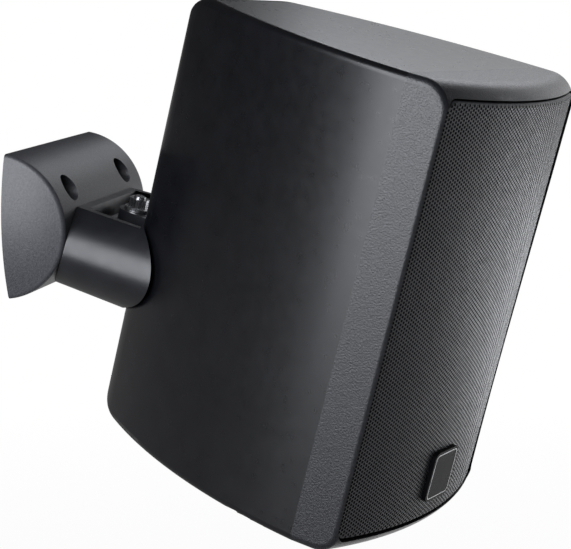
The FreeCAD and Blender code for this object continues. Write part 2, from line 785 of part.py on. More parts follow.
def make_woofer():
    at_woofer = IN_CABINET.multiply(frame(0, 0, number(WOOFER_Z)))
    rim = "(cone_edge + surround_width)"
    foot_inside = "basket_foot - basket_wall"
    shelf_front = f"({SPIDER_Y} + spider_sheet)"
    shelf_back = f"({shelf_front} + basket_wall)"
    basket = turned("woofer_basket", [
        (rim, "grille_recess"), ("woofer_flange", "grille_recess"),
        ("woofer_flange", FLANGE_SEAT), ("woofer_opening - basket_clearance", FLANGE_SEAT),
        ("basket_foot", shelf_back), ("basket_foot", BASKET_BACK),
        ("basket_foot_bore", BASKET_BACK), ("basket_foot_bore", f"{BASKET_BACK} - basket_wall"),
        (foot_inside, f"{BASKET_BACK} - basket_wall"), (foot_inside, shelf_back),
        ("spider_shelf", shelf_back), ("spider_shelf", shelf_front),
        (foot_inside, shelf_front), (rim, FLANGE_SEAT),
    ])
    windows = padded("basket_windows", "XZ_Plane", f"{FLANGE_SEAT} + basket_window_margin",
                     f"{SPIDER_Y} - basket_window_margin",
                     circles=with_radius(on_circle("basket_window_circle", 0), "basket_window"))
    holes = padded("basket_holes", "XZ_Plane", BEFORE_BAFFLE, BEHIND_FLANGE, circles=with_radius(
        on_circle("woofer_screw_circle", FIRST_SCREW_ANGLE), "driver_screw_shank"))
    keep("woofer_basket", combine("Cut", "woofer_basket", basket, windows, holes), at_woofer)
    keep("woofer_top_plate", turned("woofer_top_plate", box_outline(
        f"{COIL_OUT} + coil_gap", "top_plate_radius", BASKET_BACK, MAGNET_Y)), at_woofer)
    keep("woofer_magnet", turned("woofer_magnet", box_outline(
        "magnet_bore", "magnet_radius", MAGNET_Y, BACK_PLATE_Y)), at_woofer)
    keep("woofer_pole_plate", turned("woofer_pole_plate", [
        ("0", BASKET_BACK), (POLE, BASKET_BACK), (POLE, BACK_PLATE_Y),
        ("top_plate_radius", BACK_PLATE_Y), ("top_plate_radius", f"{BACK_PLATE_Y} + back_plate_thick"),
        ("0", f"{BACK_PLATE_Y} + back_plate_thick")]), at_woofer)
    keep("woofer_cone", turned("woofer_cone", [
        ("cone_edge", CONE_Y), (COIL_OUT, NECK_Y), (COIL_OUT, f"{NECK_Y} + cone_wall"),
        ("cone_edge", f"{CONE_Y} + cone_wall")]), at_woofer)
    keep("voice_coil", turned("voice_coil", box_outline(
        "coil_radius", COIL_OUT, COIL_FRONT,
        f"{BASKET_BACK} + top_plate_thick / 2 + coil_overhang")), at_woofer)
    crown = "((coil_radius * coil_radius + cap_rise * cap_rise) / (2 * cap_rise))"
    keep("dust_cap", turned("dust_cap", [
        ("0", f"{COIL_FRONT} - cap_rise"), ("0", f"{COIL_FRONT} - cap_rise - cone_sheet", crown, 1),
        ("coil_radius", f"{COIL_FRONT} - cone_sheet"), ("coil_radius", COIL_FRONT, crown, -1)]),
        at_woofer)
    half = "(surround_width / 2)"
    roll = f"(({half} * {half} + surround_roll * surround_roll) / (2 * surround_roll))"
    keep("woofer_surround", turned("woofer_surround", [
        ("cone_edge", CONE_Y), ("cone_edge", f"{CONE_Y} - cone_sheet", roll, 1),
        (rim, f"{CONE_Y} - cone_sheet"), (rim, CONE_Y, roll, -1)]), at_woofer)
    keep("woofer_spider", turned("woofer_spider", box_outline(
        COIL_OUT, "basket_foot - basket_wall", SPIDER_Y, f"{SPIDER_Y} + spider_sheet")), at_woofer)
    screws("woofer_screws", "XZ_Plane", WOOFER_SCREWS, "grille_recess", "driver_screw_head",
           "driver_screw_head_thick", "driver_screw_shank", "driver_screw_reach", IN_CABINET)


def make_tweeter():
    at_tweeter = IN_CABINET.multiply(frame(0, 0, number(TWEETER_Z)))
    plate = turned("tweeter_plate", [
        ("tweeter_throat", FLANGE_SEAT), ("tweeter_throat + tweeter_flare", "grille_recess"),
        ("tweeter_plate", "grille_recess"), ("tweeter_plate", FLANGE_SEAT)])
    holes = padded("tweeter_plate_holes", "XZ_Plane", BEFORE_BAFFLE, BEHIND_FLANGE, circles=with_radius(
        on_circle("tweeter_screw_circle", FIRST_SCREW_ANGLE), "driver_screw_shank"))
    keep("tweeter_plate", combine("Cut", "tweeter_plate", plate, holes), at_tweeter)
    crown = "((dome_radius * dome_radius + dome_rise * dome_rise) / (2 * dome_rise))"
    rim = f"{FLANGE_SEAT} - dome_sheet"
    keep("tweeter_dome", turned("tweeter_dome", [
        ("0", f"{rim} - dome_rise + dome_sheet"),
        ("0", f"{rim} - dome_rise", crown, 1), ("dome_radius", rim),
        ("dome_rim", rim), ("dome_rim", FLANGE_SEAT),
        ("dome_radius", FLANGE_SEAT, crown, -1)]), at_tweeter)
    keep("tweeter_motor", turned("tweeter_motor", box_outline(
        "0", "tweeter_motor", FLANGE_SEAT, f"{FLANGE_SEAT} + tweeter_motor_depth")), at_tweeter)
    screws("tweeter_screws", "XZ_Plane", TWEETER_SCREWS, "grille_recess", "driver_screw_head",
           "driver_screw_head_thick", "driver_screw_shank", "driver_screw_reach", IN_CABINET)
    screws("bezel_screws", "XZ_Plane", POSTS, "grille_recess", "case_screw_head",
           "case_screw_head_thick", "case_screw_shank",
           "bezel_depth - grille_recess + case_screw_reach", IN_CABINET)


# Crossover on pillars of the cabinet floor
BOARD_LOW = f"({FLOOR} + board_stand)"
BOARD_TOP = f"({BOARD_LOW} + board_thick)"
BOARD_MIDDLE = "(board_start + board_length / 2)"


def make_crossover():
    board = padded("crossover_board", "XY_Plane", BOARD_LOW, BOARD_TOP, box_outline(
        "-board_width / 2", "board_width / 2", "board_start", "board_start + board_length"),
        with_radius(BOARD_HOLES, "board_screw_shank"))
    keep("crossover_board", board, IN_CABINET)
    screws("crossover_screws", "XY_Plane", BOARD_HOLES, BOARD_TOP, "board_screw_head",
           "board_screw_head_thick", "board_screw_shank", "board_thick + board_screw_reach",
           IN_CABINET, head_sign="+")
    coil_at = ("-board_width / 5", f"{BOARD_MIDDLE} - board_length / 6")
    keep("crossover_inductor", padded(
        "crossover_inductor", "XY_Plane", BOARD_TOP, f"{BOARD_TOP} + inductor_tall",
        circles=[(*coil_at, "inductor_radius"), (*coil_at, "inductor_bore")]), IN_CABINET)
    capacitors = new_body("crossover_capacitors")
    capacitors.AllowCompound = True
    level = f"{BOARD_TOP} + capacitor_radius"
    pad(capacitors, "XZ_Plane", f"{BOARD_MIDDLE} - capacitor_length / 2",
        f"{BOARD_MIDDLE} + capacitor_length / 2", circles=[
            (f"board_width / 4 {sign} capacitor_pitch / 2", level, "capacitor_radius")
            for sign in "-+"])
    keep("crossover_capacitors", capacitors, IN_CABINET)
    resistor_y = "(board_start + board_length - board_hole_inset - resistor_side)"
    keep("crossover_resistor", padded(
        "crossover_resistor", "XY_Plane", BOARD_TOP, f"{BOARD_TOP} + resistor_side", box_outline(
            *around("-board_width / 4", "resistor_length"), *around(resistor_y, "resistor_side"))),
        IN_CABINET)
    pad_top = f"({INNER_TOP} - pad_seat)"
    keep("damping_pad", padded(
        "damping_pad", "XY_Plane", f"{pad_top} - pad_thick", pad_top, box_outline(
            *around("0", "pad_width"), "pad_start", "pad_start + pad_length")), IN_CABINET)


# Terminal cup with two sprung levers
CUP_OUT = f"({CUP_SEAT} + cup_flange)"
CUP_SCREW_SEAT = f"({CUP_OUT} - cup_screw_head_thick)"
CUP_FLOOR = f"({CUP_SEAT} - cup_deep + cup_wall)"
LEVER_Y = f"({CUP_FLOOR} + lever_axis_depth)"
LEVER_Z = f"({CUP_Z} + lever_axis_drop)"
LEVER_X = "(lever_space / 2 + lever_width / 2)"
CUP_INSIDE = "(cup_width - 2 * cup_rim - 2 * cup_wall)"


def make_terminals():
    body = padded("cup_body", "XZ_Plane", f"{CUP_SEAT} - cup_deep", CUP_SEAT, box_outline(
        *around("0", "(cup_width - 2 * cup_rim)"), *around(CUP_Z, "(cup_tall - 2 * cup_rim)")))
    pad(body, "XZ_Plane", CUP_SEAT, CUP_OUT, rounded_box(
        *around("0", "cup_width"), *around(CUP_Z, "cup_tall"), "cup_rim / 2"),
        with_radius(CUP_SCREWS, "cup_screw_shank"))
    pocket(body, "XZ_Plane", CUP_FLOOR, CUP_OUT, box_outline(
        *around("0", CUP_INSIDE), *around(CUP_Z, "(cup_tall - 2 * cup_rim - 2 * cup_wall)")))
    pocket(body, "XZ_Plane", CUP_SCREW_SEAT, CUP_OUT,
           circles=with_radius(CUP_SCREWS, "cup_screw_head + cup_clearance"))
    pin_hole = cylinder("cup_pin_hole", "X", ("-cup_width / 2 + cup_rim + cup_wall / 2", LEVER_Y, LEVER_Z),
                        "pin_radius + pin_clearance", "cup_width - 2 * cup_rim - cup_wall")
    keep("terminal_cup", combine("Cut", "terminal_cup", body, pin_hole), IN_CABINET)
    pin_end = "(cup_width / 2 - cup_rim - cup_wall / 2)"
    keep("terminal_pin", padded("terminal_pin", "YZ_Plane", f"-{pin_end}", pin_end,
                                circles=[(LEVER_Y, LEVER_Z, "pin_radius")]), IN_CABINET)
    for label, side in (("terminal_lever_red", "-"), ("terminal_lever_black", "")):
        middle = f"{side}{LEVER_X}"
        start = f"{middle} - lever_width / 2"
        knuckle = cylinder(label + "_knuckle", "X", (start, LEVER_Y, LEVER_Z),
                           "lever_knuckle", "lever_width")
        tab = block(label + "_tab", around(middle, "lever_width"),
                    (f"{LEVER_Y} + lever_knuckle - lever_thick", f"{LEVER_Y} + lever_knuckle"),
                    (f"{LEVER_Z} - lever_tall", LEVER_Z))
        bore = cylinder(label + "_bore", "X", (f"{start} - {OVERSHOOT}", LEVER_Y, LEVER_Z),
                        "pin_radius + pin_clearance", f"lever_width + 2 * {OVERSHOOT}")
        keep(label, combine("Cut", label, combine("Fuse", label + "_solid", knuckle, tab), bore),
             IN_CABINET)
    contacts = new_body("terminal_contacts")
    contacts.AllowCompound = True
    low = f"{CUP_Z} - cup_tall / 2 + cup_rim + cup_wall"
    for side in ("-", ""):
        pad(contacts, "XZ_Plane", CUP_FLOOR, f"{CUP_FLOOR} + contact_thick", box_outline(
            *around(f"{side}{LEVER_X}", "contact_width"), low, f"{low} + contact_tall"))
    keep("terminal_contacts", contacts, IN_CABINET)
    screws("terminal_screws", "XZ_Plane", CUP_SCREWS, CUP_SCREW_SEAT, "cup_screw_head",
           "cup_screw_head_thick", "cup_screw_shank",
           "cup_flange - cup_screw_head_thick + cup_screw_reach", IN_CABINET, head_sign="+")


# Swivel lug screwed into the cabinet's tail
LUG_FACE = f"({LUG_SEAT} + lug_plate)"
SWIVEL_Y = "(cabinet_depth + swivel_stand_off)"


def make_lug():
    plate = padded("lug_plate", "XZ_Plane", LUG_SEAT, LUG_FACE, rounded_box(
        *around("0", "lug_width"), *around(LUG_Z, "lug_tall"), "lug_corner"),
        with_radius(LUG_SCREWS, "lug_screw_shank"))
    level = around(LUG_Z, "lug_thick")
    tongue = block("lug_tongue", around("0", "2 * lug_end"), (LUG_FACE, SWIVEL_Y), level)
    eye = cylinder("lug_eye", "Z", ("0", SWIVEL_Y, level[0]), "lug_end", "lug_thick")
    bore = cylinder("lug_bore", "Z", ("0", SWIVEL_Y, f"{level[0]} - {OVERSHOOT}"),
                    "swivel_bolt + swivel_bolt_clearance", f"lug_thick + 2 * {OVERSHOOT}")
    sinks = padded("lug_sinks", "XZ_Plane", f"{LUG_FACE} - lug_screw_head_thick",
                   f"{LUG_FACE} + {OVERSHOOT}", circles=with_radius(LUG_SCREWS, "lug_screw_head"))
    solid = combine("Fuse", "lug_solid", plate, tongue, eye)
    keep("swivel_lug", combine("Cut", "swivel_lug", solid, bore, sinks), IN_CABINET)
    screws("lug_screws", "XZ_Plane", LUG_SCREWS, f"{LUG_FACE} - lug_screw_head_thick",
           "lug_screw_head", "lug_screw_head_thick", "lug_screw_shank",
           "lug_plate - lug_screw_head_thick + lug_screw_reach", IN_CABINET, head_sign="+")


# Wall base: the front part of a barrel with domed ends, open to the wall

def barrel(name, inset):
    radius = f"(base_radius - {inset})"
    end = f"(base_length / 2 - {inset})"
    crown = f"(({radius} * {radius} + base_dome * base_dome) / (2 * base_dome))"
    return turned(name, [
        (f"-{end} - base_dome", "0"), (f"{end} + base_dome", "0", crown, 1),
        (end, radius), (f"-{end}", radius, crown, 1)], axis="H_Axis")


def barrel_edge_radius(vertex):
    return number("base_edge_round")


SCREW_SPOTS = [("-wall_screw_spacing / 2", "wall_screw_rise"),
               ("wall_screw_spacing / 2", "wall_screw_rise")]


def clamp_slot(name, middle):
    """Wedge about the tilt axis that a clamp screw sweeps as the arm tilts."""
    item = doc.addObject("Part::Cylinder", name)
    bind(item, "Radius", f"base_radius + {OVERSHOOT}")
    bind(item, "Height", "2 * (clamp_shank + clamp_slot_side)")
    bind(item, "Angle", "tilt_level_reach + tilt_down_reach + 2 * clamp_slot_angle")
    to_room = 270
    lead = FreeCAD.Rotation(FreeCAD.Vector(0, 0, 1), to_room - number(
        "clamp_angle - tilt_down + tilt_level_reach + clamp_slot_angle"))
    item.Placement.Rotation = AXIS_TURN["X"].multiply(lead)
    place_at(item, f"{middle} - clamp_shank - clamp_slot_side", "0", "0")
    return item


def make_wall_base():
    outer = rounded_edges("base_rounded", barrel("base_barrel", "0"), is_sharp, barrel_edge_radius)
    inner = barrel("base_hollow", "base_wall")
    bosses = padded("base_bosses", "XZ_Plane", "-base_radius", "-wall_inset",
                    circles=with_radius(SCREW_SPOTS, "access_boss"))
    body = combine("Fuse", "base_bossed", combine("Cut", "base_shell", outer, inner),
                   combine("Common", "base_bosses_trimmed", bosses, outer))
    room_side = block("base_room_side", around("0", "2 * base_length"),
                      ("-2 * base_radius", "-wall_inset"), around("0", "3 * base_radius"))
    front = combine("Common", "base_front", body, room_side)
    access = padded("base_access", "XZ_Plane", "-2 * base_radius", "-wall_inset - wall_pad",
                    circles=with_radius(SCREW_SPOTS, "access_hole"))
    screw_holes = padded("base_screw_holes", "XZ_Plane", "-2 * base_radius", "base_radius",
                         circles=with_radius(SCREW_SPOTS, "wall_screw_hole"))
    slots = [clamp_slot("base_slot_left", "-clamp_side"), clamp_slot("base_slot_right", "clamp_side")]
    keep("wall_base", combine("Cut", "wall_base", front, access, screw_holes, *slots), IN_BASE)


# Arm: a flared oval sleeve that rides on the barrel and takes the cabinet's tail

def oval(name, y, half, rise):
    item = doc.addObject("Part::Ellipse", name)
    item.Placement.Rotation = FreeCAD.Rotation(FreeCAD.Vector(1, 0, 0), 90)
    bind(item, "MajorRadius", half)
    bind(item, "MinorRadius", rise)
    place_at(item, "0", y, "-sleeve_drop")
    return item


def sleeve_form(name, inset):
    rear = oval(name + "_rear", "arm_reach", f"sleeve_rear_half - {inset}", f"sleeve_rear_rise - {inset}")
    front = oval(name + "_front", "-sleeve_front", f"sleeve_front_half - {inset}",
                 f"sleeve_front_rise - {inset}")
    item = doc.addObject("Part::Loft", name)
    item.Sections = [rear, front]
    item.Solid = True
    item.Ruled = True
    return item


def tail_room():
    """The space that the cabinet's tail sweeps about the swivel axis, with room around it."""
    sine, cosine = "sin(swivel_limit)", "cos(swivel_limit)"
    reach = "(swivel_stand_off + tail_radius)"
    radius = "(tail_radius + nose_clearance)"
    centre_x = f"({TAIL_X} * {cosine} + {reach} * {sine})"
    centre_y = f"({TAIL_X} * {sine} - {reach} * {cosine})"
    side_x, side_y = f"(({TAIL_X} - {FLANK_X}) / {SPAN})", f"(({TAIL_Y} - bezel_depth) / {SPAN})"
    out_x = f"({side_x} * {cosine} - {side_y} * {sine})"
    out_y = f"({side_x} * {sine} + {side_y} * {cosine})"
    flank_x, flank_y = f"{centre_x} + {radius} * {out_x}", f"{centre_y} + {radius} * {out_y}"
    return padded("tail_room", "XY_Plane", "-2 * base_radius", "2 * base_radius", mirrored([
        (f"{flank_x} + 2 * sleeve_front * {out_y}", f"{flank_y} - 2 * sleeve_front * {out_x}"),
        (flank_x, flank_y, radius, 1),
        (f"{centre_x} - {radius} * {sine}", f"{centre_y} + {radius} * {cosine}")]))


SADDLE_R = "(base_radius + saddle_clearance)"
CLAMP_SEAT = f"({SADDLE_R} + saddle_wall - clamp_flat)"


def clamp_cylinders(name, start, end, radius):
    body = padded(name, "XZ_Plane", f"-({end})", f"-({start})", circles=[
        ("-clamp_side", "0", radius), ("clamp_side", "0", radius)])
    body.AllowCompound = True
    return body


def to_arm_from_clamp(item):
    item.Placement = frame(0, number("arm_reach"), 0, (1, 0, 0), -number("clamp_angle"))
    return item


def make_arm():
    outer = sleeve_form("sleeve_outer", "0")
    inner = sleeve_form("sleeve_inner", "sleeve_wall")
    tube = combine("Cut", "sleeve_tube", outer, inner)
    across = ("-base_length", "arm_reach", "0")
    pad_ring = cylinder("saddle_outer", "X", across, f"{SADDLE_R} + saddle_wall", "2 * base_length")
    boss = cylinder("swivel_boss", "Z", ("0", "0", "-2 * base_radius"), "swivel_boss",
                    "2 * base_radius + swivel_boss_top")
    web = block("swivel_web", around("0", "2 * swivel_boss"), ("0", "arm_reach"),
                ("-2 * base_radius", "swivel_boss_top"))
    inside = combine("Common", "sleeve_inside", combine("Fuse", "sleeve_fill", pad_ring, boss, web), outer)
    solid = combine("Fuse", "sleeve_solid", tube, inside)
    side = padded("sleeve_side", "YZ_Plane", "-base_length", "base_length", rounded_box(
        "-sleeve_front", "2 * arm_reach", "-sleeve_drop - sleeve_front_rise - sleeve_corner_drop",
        "sleeve_front_rise - sleeve_drop", "sleeve_corner"))
    trimmed = combine("Common", "sleeve_trimmed", solid, side)
    cuts = [
        cylinder("saddle_cut", "X", across, SADDLE_R, "2 * base_length"),
        block("window_cut", around("0", "2 * base_length"), ("-window_front", "2 * arm_reach"),
              ("window_level", "2 * base_radius")),
        block("wall_side_cut", around("0", "3 * base_length"), ("arm_reach", "3 * arm_reach"),
              around("0", "4 * base_radius")),
        cylinder("swivel_hole", "Z", ("0", "0", "-2 * base_radius"),
                 "swivel_bolt + swivel_bolt_clearance", "4 * base_radius"),
        hexagon("head_pocket", "-2 * base_radius", "-swivel_head_level + swivel_head_thick",
                "swivel_head_across + swivel_bolt_clearance"),
        to_arm_from_clamp(clamp_cylinders(
            "clamp_holes", f"base_radius - {OVERSHOOT}", "base_radius * 2", "clamp_shank")),
        to_arm_from_clamp(clamp_cylinders(
            "clamp_seats", CLAMP_SEAT, f"{CLAMP_SEAT} + clamp_head_thick + {OVERSHOOT}",
            "clamp_head + clamp_head_room")),
        tail_room(),
    ]
    keep("arm_sleeve", combine("Cut", "arm_sleeve", trimmed, *cuts), IN_ARM)


def hexagon(name, start, end, across):
    corner = f"({across}) / cos(30)"
    return padded(name, "XY_Plane", start, end, [
        (f"{corner} * cos({angle})", f"{corner} * sin({angle})") for angle in range(0, 360, 60)])


def make_arm_hardware():
    head_top = "(-swivel_head_level + swivel_head_thick)"
    bolt = hexagon("swivel_bolt", "-swivel_head_level", head_top, "swivel_head_across")
    pad(bolt, "XY_Plane", head_top, "swivel_bolt_end", circles=[("0", "0", "swivel_bolt")])
    keep("swivel_bolt", bolt, IN_ARM)
    washer_low = "(swivel_boss_top + 2 * swivel_play + lug_thick)"
    nut_low = f"({washer_low} + washer_thick)"
    bore = ("0", "0", "swivel_bolt")
    keep("swivel_washer", padded("swivel_washer", "XY_Plane", washer_low, nut_low,
                                 circles=[("0", "0", "washer_radius"), bore]), IN_ARM)
    nut = hexagon("swivel_nut", nut_low, f"{nut_low} + nut_thick", "nut_across")
    pocket(nut, "XY_Plane", nut_low, f"{nut_low} + nut_thick", circles=[bore])
    keep("swivel_nut", nut, IN_ARM)
    clamps = clamp_cylinders("clamp_screws", CLAMP_SEAT, f"{CLAMP_SEAT} + clamp_head_thick", "clamp_head")
    pad(clamps, "XZ_Plane", f"-{CLAMP_SEAT}", "-nut_bar_inner", circles=[
        ("-clamp_side", "0", "clamp_shank"), ("clamp_side", "0", "clamp_shank")])
    keep("clamp_screws", clamps, AT_CLAMP)
    bar_outer = "(base_radius - base_wall - nut_bar_gap)"
    ring = turned("nut_bar_ring", box_outline(
        "-nut_bar_half", "nut_bar_half", "nut_bar_inner", bar_outer), axis="H_Axis")
    tall = f"(2 * {bar_outer} * sin(nut_bar_angle))"
    window = block("nut_bar_window", around("0", "3 * nut_bar_half"), ("-2 * base_radius", "0"),
                   around("0", tall))
    holes = clamp_cylinders("nut_bar_holes", f"nut_bar_inner - {OVERSHOOT}", "base_radius", "clamp_shank")
    bar = combine("Cut", "clamp_nut_bar", combine("Common", "nut_bar_form", ring, window), holes)
    keep("clamp_nut_bar", bar, AT_CLAMP)


def write_parts():
    doc.recompute()
    faults = [item.Label for item in doc.Objects if {"Invalid", "Error"} & set(item.State)]
    for label, item in nodes.items():
        if item.Shape.isNull() or not item.Shape.isValid() or not item.Shape.Solids:
            faults.append(label)
    if faults:
        raise RuntimeError("failed objects: " + ", ".join(faults))
    os.makedirs("parts", exist_ok=True)
    for label, item in nodes.items():
        item.Shape.exportStep(f"parts/{label}.step")


make_cabinet_shell()
make_front_bezel()
make_grille()
make_woofer()
make_tweeter()
make_crossover()
make_terminals()
make_lug()
make_wall_base()
make_arm()
make_arm_hardware()
write_parts()
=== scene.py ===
import json
import math

import bmesh
import bpy
from mathutils import Matrix, Vector


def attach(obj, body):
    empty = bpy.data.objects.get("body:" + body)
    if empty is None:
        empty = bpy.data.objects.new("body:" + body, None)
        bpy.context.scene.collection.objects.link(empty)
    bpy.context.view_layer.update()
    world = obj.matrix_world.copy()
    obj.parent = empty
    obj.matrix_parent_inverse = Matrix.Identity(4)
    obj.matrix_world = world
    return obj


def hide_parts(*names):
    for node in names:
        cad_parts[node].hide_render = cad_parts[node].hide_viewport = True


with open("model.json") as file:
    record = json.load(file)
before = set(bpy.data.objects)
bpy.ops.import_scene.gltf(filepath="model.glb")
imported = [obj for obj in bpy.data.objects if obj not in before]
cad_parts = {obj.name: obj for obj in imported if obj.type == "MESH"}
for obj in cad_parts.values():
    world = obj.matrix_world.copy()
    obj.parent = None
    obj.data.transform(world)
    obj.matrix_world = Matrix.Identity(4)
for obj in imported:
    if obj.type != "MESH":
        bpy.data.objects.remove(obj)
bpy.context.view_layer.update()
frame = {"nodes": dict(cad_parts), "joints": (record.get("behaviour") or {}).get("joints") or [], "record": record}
nodes_of_part = frame["nodes"]
record = frame["record"]

MM = 0.001

# The cabinet's own frame: X across, Y back from the bezel's front plane, Z up from mid height
BOLT_BEHIND_FRONT = 191.5
BOLT_BELOW_MIDDLE = 28.3


def cabinet_place():
    joints = {joint["name"]: joint for joint in frame["joints"]}
    up = Vector(joints["swivel"]["axis"])
    back = -Vector(joints["cone_travel"]["axis"])
    turn = Matrix((back.cross(up), back, up)).transposed().to_4x4()
    bolt = Matrix.Translation(joints["swivel"]["pos_m"])
    return bolt @ turn @ Matrix.Translation((0, -BOLT_BEHIND_FRONT * MM, BOLT_BELOW_MIDDLE * MM))


CABINET = cabinet_place()
CABINET_TURN = CABINET.to_euler()

# Camera at the photograph's angle
CAMERA_PLACE = (-0.85464, -0.40053, 0.12958)
CAMERA_HEADING = math.radians(-72.1034)
CAMERA_DIP = math.radians(10.6155)
CAMERA_ROLL = math.radians(-0.1976)
LENS_LENGTH = 110.4
SENSOR_WIDTH = 36
LENS_SHIFT = 0.0263
NEAREST_SEEN = 0.02
FURTHEST_SEEN = 200


def set_camera():
    lens = bpy.data.cameras.new("camera")
    lens.lens = LENS_LENGTH
    lens.sensor_width = SENSOR_WIDTH
    lens.shift_x = LENS_SHIFT
    lens.shift_y = -LENS_SHIFT
    lens.clip_start = NEAREST_SEEN
    lens.clip_end = FURTHEST_SEEN
    camera = bpy.data.objects.new("camera", lens)
    bpy.context.scene.collection.objects.link(camera)
    camera.matrix_world = (
        Matrix.Translation(CAMERA_PLACE)
        @ Matrix.Rotation(CAMERA_HEADING, 4, "Z")
        @ Matrix.Rotation(math.pi / 2 - CAMERA_DIP, 4, "X")
        @ Matrix.Rotation(CAMERA_ROLL, 4, "Z")
    )
    bpy.context.scene.camera = camera


# Shader nodes, whose inputs take plain values or the outputs of other nodes
def add_node(tree, kind, inputs=(), **settings):
    node = tree.nodes.new("ShaderNode" + kind)
    for name, setting in settings.items():
        setattr(node, name, setting)
    for socket, value in dict(inputs).items():
        if isinstance(value, bpy.types.NodeSocket):
            tree.links.new(value, node.inputs[socket])
        else:
            node.inputs[socket].default_value = value
    return node


def worked_out(tree, operation, *values):
    return add_node(tree, "Math", enumerate(values), operation=operation).outputs["Value"]


def ranged(tree, value, source, target, **settings):
    """Carries a value from the source range over to the target range."""
    limits = {"From Min": source[0], "From Max": source[1], "To Min": target[0], "To Max": target[1]}
    return add_node(tree, "MapRange", {"Value": value, **limits}, **settings).outputs["Result"]


def lean_towards(tree, heading, side):
    """1 where a heading points to the side, 0 across it."""
    return add_node(tree, "VectorMath", {0: heading, 1: side}, operation="DOT_PRODUCT").outputs["Value"]


# Nearly all values of a noise lie in this range
NOISE_SPAN = (0.3, 0.7)
# A wave texture of scale 1 repeats after this length
WAVE_LENGTH = 0.314


class Finish:
    """A material that reads the piece's own place. Sizes, pitches and depths are in millimetres."""

    def __init__(self, slot):
        self.slot = slot
        self.material = bpy.data.materials.new(slot)
        self.material.use_nodes = True
        self.tree = self.material.node_tree
        self.shader = self.tree.nodes["Principled BSDF"]
        self.place = add_node(self.tree, "TexCoord").outputs["Object"]

    def set(self, **sockets):
        for name, value in sockets.items():
            self.shader.inputs[name.replace("_", " ")].default_value = value

    def link(self, output, socket):
        self.tree.links.new(output, self.shader.inputs[socket])

    def turned(self, stretch=(1, 1, 1)):
        """The place along the cabinet's own directions, stretched along each."""
        mapping = add_node(self.tree, "Mapping", {"Vector": self.place, "Rotation": CABINET_TURN},
                           vector_type="TEXTURE")
        spread = add_node(self.tree, "VectorMath", {0: mapping.outputs["Vector"], 1: stretch},
                          operation="MULTIPLY")
        return spread.outputs["Vector"]

    def speckle(self, size, detail, place=None):
        sockets = {"Vector": place or self.place, "Scale": 1 / (size * MM), "Detail": detail}
        return add_node(self.tree, "TexNoise", sockets).outputs["Fac"]

    def pits(self, size):
        sockets = {"Vector": self.place, "Scale": 1 / (size * MM)}
        return add_node(self.tree, "TexVoronoi", sockets, feature="SMOOTH_F1").outputs["Distance"]

    def bands(self, pitch, direction, place, waver):
        sockets = {"Vector": place, "Scale": WAVE_LENGTH / (pitch * MM), "Distortion": waver}
        return add_node(self.tree, "TexWave", sockets, bands_direction=direction).outputs["Fac"]

    def mixed(self, first, second, operation):
        return worked_out(self.tree, operation, first, second)

    def colours(self, value, dark, light, span=NOISE_SPAN):
        ramp = add_node(self.tree, "ValToRGB", {"Fac": value})
        for stop, position, colour in zip(ramp.color_ramp.elements, span, (dark, light)):
            stop.position = position
            stop.color = (*colour, 1)
        self.link(ramp.outputs["Color"], "Base Color")

    def roughness(self, value, rough):
        self.link(ranged(self.tree, value, NOISE_SPAN, rough), "Roughness")

    def relief(self, value, depth):
        bump = add_node(self.tree, "Bump", {"Height": value, "Strength": 1, "Distance": depth * MM})
        self.link(bump.outputs["Normal"], "Normal")


# Finishes of the moulded and painted pieces
def moulding(slot, dark, light, rough, grain, depth, gloss):
    finish = Finish(slot)
    finish.colours(finish.speckle(size=14, detail=3), dark, light)
    finish.roughness(finish.speckle(size=5, detail=4), rough)
    finish.relief(finish.speckle(size=grain, detail=2), depth)
    finish.set(Specular_IOR_Level=gloss)
    return finish


def pitted_moulding(slot, dark, light, rough, pit, depth, gloss):
    finish = Finish(slot)
    skin = finish.mixed(finish.pits(pit), finish.speckle(size=0.6 * pit, detail=2), "ADD")
    finish.colours(finish.speckle(size=1.1 * pit, detail=3), dark, light)
    finish.roughness(finish.speckle(size=pit, detail=3), rough)
    finish.relief(skin, depth)
    finish.set(Specular_IOR_Level=gloss)
    return finish


def glossy_moulding(slot, dark, light, rough):
    finish = Finish(slot)
    finish.colours(finish.speckle(size=9, detail=2), dark, light)
    finish.roughness(finish.speckle(size=1.5, detail=5), rough)
    finish.relief(finish.speckle(size=7, detail=1), depth=0.03)
    finish.set(Coat_Weight=0.4, Coat_Roughness=0.06)
    return finish


def stoved_paint(slot, dark, light, rough):
    finish = Finish(slot)
    finish.colours(finish.speckle(size=11, detail=3), dark, light)
    finish.roughness(finish.speckle(size=3, detail=4), rough)
    finish.relief(finish.speckle(size=0.5, detail=2), depth=0.01)
    finish.set(Specular_IOR_Level=0.6)
    return finish


def perforated_paint(slot, dark, light, rough, painted_shade_depth):
    finish = Finish(slot)
    finish.colours(finish.speckle(size=11, detail=3), dark, light)
    finish.roughness(finish.speckle(size=3, detail=4), rough)
    finish.relief(finish.speckle(size=0.7, detail=2), depth=0.06)
    # Painted shade: the paint's reflection fades out inside the holes, over the given depth from the face, so the
    # holes read dark
    depth = add_node(finish.tree, "Attribute", attribute_name="hole_depth").outputs["Fac"]
    finish.link(ranged(finish.tree, depth, (0, painted_shade_depth), (1, 0)), "Specular IOR Level")
    return finish


# Finishes of the metal pieces
def plated_metal(slot, dark, light, rough):
    finish = Finish(slot)
    lay = finish.speckle(size=0.5, detail=3, place=finish.turned(stretch=(1, 1, 0.08)))
    finish.colours(finish.speckle(size=4, detail=4), dark, light)
    finish.roughness(lay, rough)
    finish.relief(lay, depth=0.012)
    finish.set(Metallic=1.0)
    return finish


